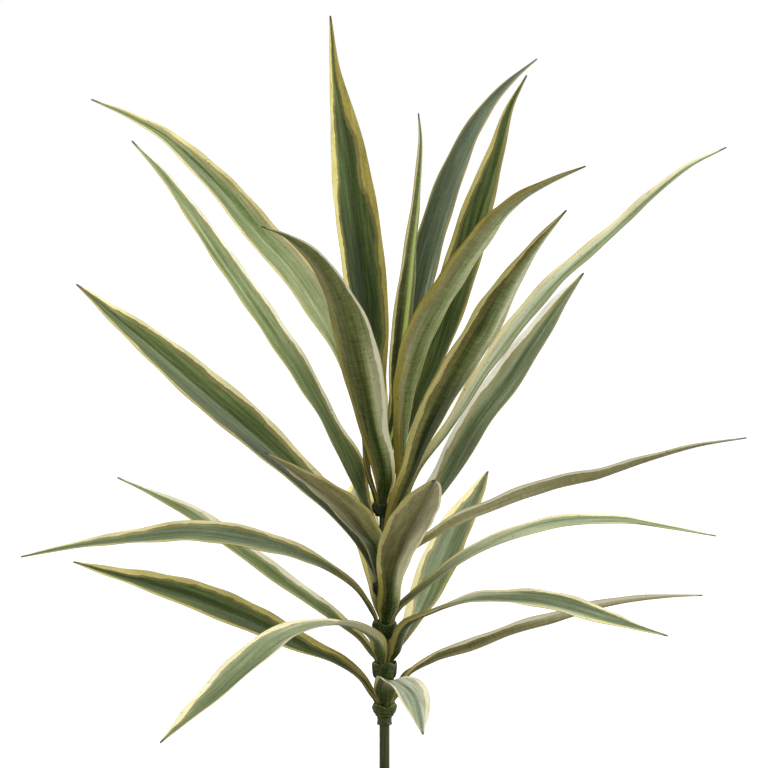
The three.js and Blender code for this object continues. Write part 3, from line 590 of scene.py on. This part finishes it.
def section_axes(place, along, twist):
    """The two directions of each cross section: across the blade, and out of its upper face."""
    round_stem = np.arctan2(place[:, 1], place[:, 0])
    across = np.stack([np.sin(round_stem), -np.cos(round_stem), np.zeros(len(place))], axis=1)
    across -= along * np.sum(across * along, axis=1)[:, None]
    across /= np.linalg.norm(across, axis=1)[:, None]
    angle = np.radians(twist)[:, None]
    across = across * np.cos(angle) + np.cross(along, across) * np.sin(angle)
    return across, np.cross(across, along)


def strip_faces(rows, cells):
    """Faces of a closed strip: its upper face, its lower face, both margins and both ends."""
    wide = cells + 1
    lower = rows * wide
    faces = []
    for k in range(rows - 1):
        for j in range(cells):
            a, b = k * wide + j, k * wide + j + 1
            faces.append((a, b, b + wide, a + wide))
            faces.append((lower + b, lower + a, lower + a + wide, lower + b + wide))
        for j, turned in ((0, False), (cells, True)):
            a, b = k * wide + j, k * wide + j + wide
            side = (lower + a, a, b, lower + b)
            faces.append(side[::-1] if turned else side)
    for k, turned in ((0, False), (rows - 1, True)):
        top = [k * wide + j for j in range(wide)]
        bottom = [lower + j for j in top]
        for j in range(cells):
            end = (top[j], bottom[j], bottom[j + 1], top[j + 1])
            faces.append(end[::-1] if turned else end)
    return faces


def leaf_piece(name, number, material):
    """A blade with a rounded channel, a groove along its middle, ribs and gently waved margins."""
    draw = random.Random(number)
    shares = np.linspace(0, 1, LEAF_ROWS) ** ROW_CROWDING
    read, along, distance = smooth_course(course_rows(*LEAVES[name]), shares)
    place = read[:, :3]
    across, upper = section_axes(place, along, read[:, 4])
    half = np.maximum(read[:, 3], TIP_WIDTH) / 2
    fold = BLADE_FOLD + (ROOT_FOLD - BLADE_FOLD) * np.maximum(0, 1 - shares / FOLD_SHARE) ** 1.5
    slant = np.hypot(1, fold)
    thickness = BLADE_THICKNESS + (ROOT_THICKNESS - BLADE_THICKNESS) * (1 - shares) ** 2
    u = np.linspace(-1, 1, LEAF_CELLS + 1)[None, :]
    column = half[:, None] * u
    bend = CHANNEL_BEND + ROOT_BEND * (1 - shares[:, None]) ** 4
    rise = (half * fold / slant)[:, None] * (np.abs(u) ** bend - 0.5)
    # The groove, ribs and waves fade where the leaf is narrow
    rise -= GROOVE_DEPTH * np.exp(-((column / GROOVE_WIDTH) ** 2)) * np.minimum(half / 6, 1)[:, None]
    rise += RIB_HEIGHT * np.cos(column * RIB_TURN) * (1 - u**2) * np.minimum(half / 8, 1)[:, None]
    for sign in (-1, 1):
        length = draw.uniform(*WAVE_LENGTHS)
        wave = np.sin(distance * 2 * math.pi / length + draw.uniform(0, 6.3))
        wave *= WAVE_HEIGHT * np.minimum(half / 12, 1) * np.minimum(shares / 0.25, 1)
        rise += wave[:, None] * np.clip(u * sign, 0, 1) ** 3
    # The blade thins to half at its margins
    body = (1 - 0.5 * np.abs(u) ** 6) * thickness[:, None] / 2
    middle = place[:, None, :] + across[:, None, :] * (column / slant[:, None])[:, :, None]
    faces_up = [middle + upper[:, None, :] * (rise + sign * body)[:, :, None] for sign in (1, -1)]
    points = np.concatenate([face.reshape(-1, 3) for face in faces_up]) * MM
    piece = mesh_piece(name + "_blade", points, strip_faces(LEAF_ROWS, LEAF_CELLS), material)
    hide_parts(name)
    paint_leaf(piece, LOOKS.get(name, BACK_LOOK), number, half, shares, distance)


def eased(values, low, high):
    """0 below low, 1 above high, and smooth between them."""
    t = np.clip((values - low) / (high - low), 0, 1)
    return t * t * (3 - 2 * t)


def paint_leaf(piece, look, number, half, shares, distance):
    """Gives a leaf the values that its material reads, point by point."""
    u = np.linspace(-1, 1, LEAF_CELLS + 1)[None, :]
    ones = np.ones((LEAF_ROWS, LEAF_CELLS + 1))
    on_right = (u > 0).astype(float)
    # The margins and bands narrow where the leaf does
    narrow = np.minimum(1, half / np.where(shares < FOOT_SHARES[1], 7.5, 9))[:, None]

    def sided(pair):
        return pair[0] + (pair[1] - pair[0]) * on_right

    # Near its foot a leaf is darker, partly its own darker base and partly painted shade of the
    # crowded crown, and where it leaves its sleeve its margins are thin as well
    foot = 1 - eased(shares, *FOOT_SHARES)[:, None]
    rooted = 1 - eased(distance, *ROOTED_LENGTHS)[:, None]
    high = eased(shares, *HIGH_SHARES)[:, None]
    towards_edge = eased(np.abs(u), 0.06, 0.55)
    # The tones paint light as well as colour: paler on halves painted as lit, darker on halves painted as
    # shaded
    low_tone = look.low[1] + (sided(look.low[::2]) - look.low[1]) * towards_edge
    high_tone = look.high[1] + (sided(look.high[::2]) - look.high[1]) * towards_edge
    tone = low_tone + (high_tone - low_tone) * high
    surface = {
        "across": half[:, None] * u,
        "along": distance[:, None] * ones,
        "share": shares[:, None] * ones,
        "edge": half[:, None] * (1 - np.abs(u)),
        "margin": narrow * sided(look.margins) * (1 + (sided(look.top) - 1) * high) * (1 - 0.55 * rooted),
        "band": narrow * sided(look.bands) * (1 - 0.8 * rooted),
        "cream": (sided(look.creams) * (1 - 0.6 * foot) - 0.3 * foot) * ones,
        "tone": tone * (1 - 0.6 * foot) * (1 - 0.7 * rooted) + 0.11 * rooted,
        "lime_highlight": look.lime_highlight * eased(u, -0.3, -0.18) * (1 - eased(u, 0.12, 0.24)) * ones,
        "seed": 3.7 * number * ones,
        "brown": look.brown * eased(shares, look.start, look.start + 0.28)[:, None] * ones,
        "cool": look.cool * (1 - rooted) * ones,
    }
    for label, values in surface.items():
        set_attribute(piece, label, np.concatenate([values.ravel(), values.ravel()]))
    set_attribute(piece, "under", np.repeat([0.0, 1.0], ones.size))


def set_attribute(piece, name, values):
    attribute = piece.data.attributes.new(name, "FLOAT", "POINT")
    attribute.data.foreach_set("value", np.asarray(values, np.float32))


def turned(profile, sides, reshape=None):
    """Points and faces of a turned solid. The profile is (radius, height) with the material on
    the left hand; it starts and ends on the axis, or else closes on itself as a ring. Reshape
    gives a point's radius and height from its angle, radius and height."""
    points = []
    rings = []
    for radius, height in profile:
        count = 1 if radius == 0 else sides
        rings.append((len(points), count))
        for k in range(count):
            angle = 2 * math.pi * k / sides
            reach, up = reshape(angle, radius, height) if reshape else (radius, height)
            points.append((reach * math.cos(angle), reach * math.sin(angle), up))
    faces = []
    pairs = len(rings) - 1 if profile[0][0] == 0 else len(rings)
    for i in range(pairs):
        low, low_count = rings[i]
        high, high_count = rings[(i + 1) % len(rings)]
        for k in range(sides):
            n = (k + 1) % sides
            corners = [low + k % low_count, low + n % low_count]
            corners += [high + n % high_count, high + k % high_count]
            faces.append(tuple(dict.fromkeys(corners)))
    return points, faces


def rounded(profile, radius, closed=False, cuts=4):
    """The profile with each corner replaced by a small arc."""
    result = [] if closed else [profile[0]]
    inner = range(len(profile)) if closed else range(1, len(profile) - 1)
    for i in inner:
        corner = Vector(profile[i])
        before = Vector(profile[i - 1]) - corner
        after = Vector(profile[(i + 1) % len(profile)]) - corner
        reach = min(radius, before.length * 0.45, after.length * 0.45)
        start = corner + before.normalized() * reach
        end = corner + after.normalized() * reach
        for cut in range(cuts + 1):
            t = cut / cuts
            result.append(tuple(start * (1 - t) ** 2 + corner * 2 * t * (1 - t) + end * t**2))
    return result if closed else result + [profile[-1]]


def pot_inside(height):
    """The radius of the pot's inside at a height."""
    share = min(height / RIM_FOOT, 1)
    return POT_FOOT_RADIUS + (UNDER_RIM - POT_FOOT_RADIUS) * share - POT_WALL


def pot(material):
    profile = [
        (0, 0), (POT_FOOT_RADIUS, 0), (UNDER_RIM, RIM_FOOT), (POT_HIGH.x, RIM_FOOT),
        (POT_HIGH.x, POT_HIGH.z), (UNDER_RIM, POT_HIGH.z), (pot_inside(RIM_FOOT), RIM_FOOT),
        (pot_inside(POT_FLOOR), POT_FLOOR), (0, POT_FLOOR),
    ]
    points, faces = turned(rounded(profile, radius=2.2 * MM), sides=144)
    piece = mesh_piece("pot_shell", points, faces, material)
    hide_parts("pot")


def soil_height(x, y):
    """How far the bed's top lies above its mean height."""
    lumps = noise.fractal(Vector((x, y, 0)) * LUMPS_PER_METRE, 1.0, 2.0, 3)
    return LUMP_HEIGHT * lumps


def soil(material):
    """A lumpy bed with a hole for the stem, and crumbs half sunk in it."""
    edge = pot_inside(RIM_FOOT) - GAP * MM
    top = SOIL_HIGH.z - SOIL_RELIEF
    radii = [BORE_RADIUS + (edge - BORE_RADIUS) * k / SOIL_RINGS for k in range(SOIL_RINGS + 1)]
    hole_foot = STEM_LOW.z - GAP * MM
    foot_radius = pot_inside(POT_FLOOR) - GAP * MM
    profile = [(0, SOIL_LOW.z), (foot_radius, SOIL_LOW.z), (edge, RIM_FOOT)]
    profile += [(radius, top) for radius in reversed(radii)]
    profile += [(BORE_RADIUS, hole_foot), (0, hole_foot)]

    def lumpy(angle, radius, height):
        if height < top:
            return radius, height
        return radius, height + soil_height(radius * math.cos(angle), radius * math.sin(angle))

    points, faces = turned(profile, SOIL_SIDES, lumpy)
    bed = mesh_piece("soil_bed", points, faces, material, sharp=80)
    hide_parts("soil")
    crumbs(edge, top, material)


def crumbs(edge, top, material):
    """Small uneven blocks strewn over the bed, each turned its own way."""
    draw = random.Random(11)
    cube = [(x, y, z) for x in (-1, 1) for y in (-1, 1) for z in (-1, 1)]
    sides = [(0, 1, 3, 2), (4, 6, 7, 5), (0, 4, 5, 1), (2, 3, 7, 6), (0, 2, 6, 4), (1, 5, 7, 3)]
    points = []
    faces = []
    for _ in range(CRUMB_COUNT):
        size = draw.uniform(*CRUMB_SIZES)
        reach = math.sqrt(draw.uniform(0.012, 0.94)) * edge
        angle = draw.uniform(0, 2 * math.pi)
        x, y = reach * math.cos(angle), reach * math.sin(angle)
        centre = Vector((x, y, top + soil_height(x, y) + 0.2 * size))
        start = len(points)
        turn = draw.uniform(0, 3.14)
        for corner in cube:
            spread = Vector(corner).normalized() * size * draw.uniform(0.75, 1.25)
            spread = Vector((spread.x * math.cos(turn) - spread.y * math.sin(turn),
                             spread.x * math.sin(turn) + spread.y * math.cos(turn), spread.z * 0.8))
            points.append(centre + spread)
        faces += [tuple(start + k for k in side) for side in sides]
    mesh_piece("soil_crumbs", points, faces, material, sharp=75)


def stem(material):
    """A thin rod with rounded ends."""
    profile = [(0, STEM_LOW.z), (STEM_RADIUS, STEM_LOW.z), (STEM_RADIUS, STEM_HIGH.z), (0, STEM_HIGH.z)]
    points, faces = turned(rounded(profile, radius=0.6 * MM), sides=48)
    piece = mesh_piece("stem_rod", points, faces, material)
    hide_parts("stem")


def collar(material):
    """A ring with a bead at its foot and a lip at its top."""
    low = COLLAR_LOW.z
    high = COLLAR_HIGH.z
    wide = COLLAR_HIGH.x
    waist = wide - 0.5 * MM
    profile = [
        (BORE_RADIUS, low), (wide - 0.2 * MM, low), (wide, low + 1.2 * MM), (waist, low + 2.0 * MM),
        (waist, high - 1.0 * MM), (wide - 0.1 * MM, high), (BORE_RADIUS, high),
    ]
    points, faces = turned(rounded(profile, radius=0.5 * MM, closed=True), sides=64)
    piece = mesh_piece("collar_ring", points, faces, material)
    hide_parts("collar")


def sleeve(number, material):
    """A moulded cup with a bead round its foot. Its rim dips round the back of each leaf's foot."""
    low, high = SLEEVE_BOXES[number - 1]
    foot = low.z
    rim = high.z
    waist = foot + 0.45 * (rim - foot)
    roots = []
    for which, root, width, _ in LEAVES.values():
        if which == number:
            roots.append((math.radians(root), math.radians(DIP_SPREAD * width), DIP_DEPTH * width**2))
    outside = [(SLEEVE_RADIUS * share, foot + up * MM) for share, up in SLEEVE_OUTSIDE]
    shoulder_radius, shoulder_height = outside[-1]
    profile = [(BORE_RADIUS, foot)] + outside + [
        (SLEEVE_RADIUS, rim - BELLY_DROP), (POCKET_RADIUS + RIM_EDGE, rim), (POCKET_RADIUS, rim),
        (shoulder_radius - SLEEVE_WALL, shoulder_height),
        (POCKET_RADIUS - POCKET_ROUNDING, foot + POCKET_FLOOR), (BORE_RADIUS, foot + POCKET_FLOOR),
    ]
    shape = rounded(profile, radius=0.7 * MM, closed=True)

    def reshape(angle, radius, height):
        upper = max(0, (height - waist) / (rim - waist))
        rise = 0
        for root, spread, dip in roots:
            rise -= dip * math.exp(-((math.remainder(angle - root, 2 * math.pi) / spread) ** 2))
        return radius + SLEEVE_OVAL * upper * math.sin(2 * angle + number), height + upper * rise

    points, faces = turned(shape, SLEEVE_SIDES, reshape)
    piece = mesh_piece(f"sleeve_{number}_cup", points, faces, material)
    set_attribute(piece, "tone", [SLEEVE_TONES[number - 1]] * len(points))
    # A painted highlight along the top of the rim
    rim_highlights = [max(0, 1 - (rim - height) / RIM_HIGHLIGHT_HEIGHT) for _, height in shape]
    set_attribute(piece, "lip", np.repeat(rim_highlights, SLEEVE_SIDES))
    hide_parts(f"sleeve_{number}")


def floor(material):
    """A wide floor, which throws no light back on the plant."""
    reach = 60.0
    mesh = bpy.data.meshes.new("floor")
    corners = [(x * reach, y * reach, 0) for x, y in ((-1, -1), (1, -1), (1, 1), (-1, 1))]
    mesh.from_pydata(corners, [], [(0, 1, 2, 3)])
    mesh.materials.append(material)
    piece = bpy.data.objects.new("floor", mesh)
    bpy.context.scene.collection.objects.link(piece)
    piece.visible_diffuse = False
    piece.visible_glossy = False


def area_light(name, place, target, size, energy):
    light = bpy.data.lights.new(name, "AREA")
    light.shape = "DISK"
    light.size = size
    light.energy = energy
    lamp = bpy.data.objects.new(name, light)
    lamp.location = place
    lamp.rotation_euler = (Vector(target) - Vector(place)).to_track_quat("-Z", "Y").to_euler()
    bpy.context.scene.collection.objects.link(lamp)


def studio():
    """A white studio: soft light from above and behind the plant, and dim air in front of it."""
    world = bpy.data.worlds.new("studio")
    world.use_nodes = True
    nodes = world.node_tree.nodes
    links = world.node_tree.links
    towards_light = nodes.new("ShaderNodeVectorMath")
    towards_light.operation = "DOT_PRODUCT"
    links.new(nodes.new("ShaderNodeTexCoord").outputs["Generated"], towards_light.inputs[0])
    towards_light.inputs[1].default_value = Vector(SKY_DIRECTION).normalized()
    brightness = nodes.new("ShaderNodeMapRange")
    brightness.interpolation_type = "SMOOTHSTEP"
    links.new(towards_light.outputs["Value"], brightness.inputs["Value"])
    for socket, value in (("From Min", -0.2), ("From Max", 1.0), ("To Min", SKY_LOW), ("To Max", SKY_HIGH)):
        brightness.inputs[socket].default_value = value
    sky = nodes["Background"]
    links.new(brightness.outputs["Result"], sky.inputs["Strength"])
    sky.inputs["Color"].default_value = (1, 1, 1, 1)
    backdrop = nodes.new("ShaderNodeBackground")
    backdrop.inputs["Color"].default_value = (1, 1, 1, 1)
    both = nodes.new("ShaderNodeMixShader")
    links.new(nodes.new("ShaderNodeLightPath").outputs["Is Camera Ray"], both.inputs[0])
    links.new(sky.outputs[0], both.inputs[1])
    links.new(backdrop.outputs[0], both.inputs[2])
    links.new(both.outputs[0], nodes["World Output"].inputs["Surface"])
    bpy.context.scene.world = world
    middle = (0, 0, 0.5)
    area_light("lamp_above", (0.5, 0.5, 2.3), middle, size=1.0, energy=30)
    area_light("lamp_right", (2.0, 0.0, 1.3), middle, size=0.8, energy=12)
    bpy.context.scene.view_settings.view_transform = "Standard"


def camera():
    data = bpy.data.cameras.new("camera")
    data.lens = CAMERA_LENS
    data.sensor_width = 36
    data.clip_end = 200
    eye = bpy.data.objects.new("camera", data)
    eye.location = CAMERA_PLACE
    eye.rotation_euler = (CAMERA_TARGET - CAMERA_PLACE).to_track_quat("-Z", "Y").to_euler()
    bpy.context.scene.collection.objects.link(eye)
    bpy.context.scene.camera = eye


def main():
    camera()
    studio()
    floor(floor_material())
    leaf_finish = leaf_material()
    for number, name in enumerate(LEAVES, start=1):
        leaf_piece(name, number, leaf_finish)
    green = sleeve_material()
    for number in range(1, len(SLEEVE_BOXES) + 1):
        sleeve(number, green)
    olive = stem_material()
    stem(olive)
    collar(olive)
    pot(pot_material())
    soil(soil_material())


main()
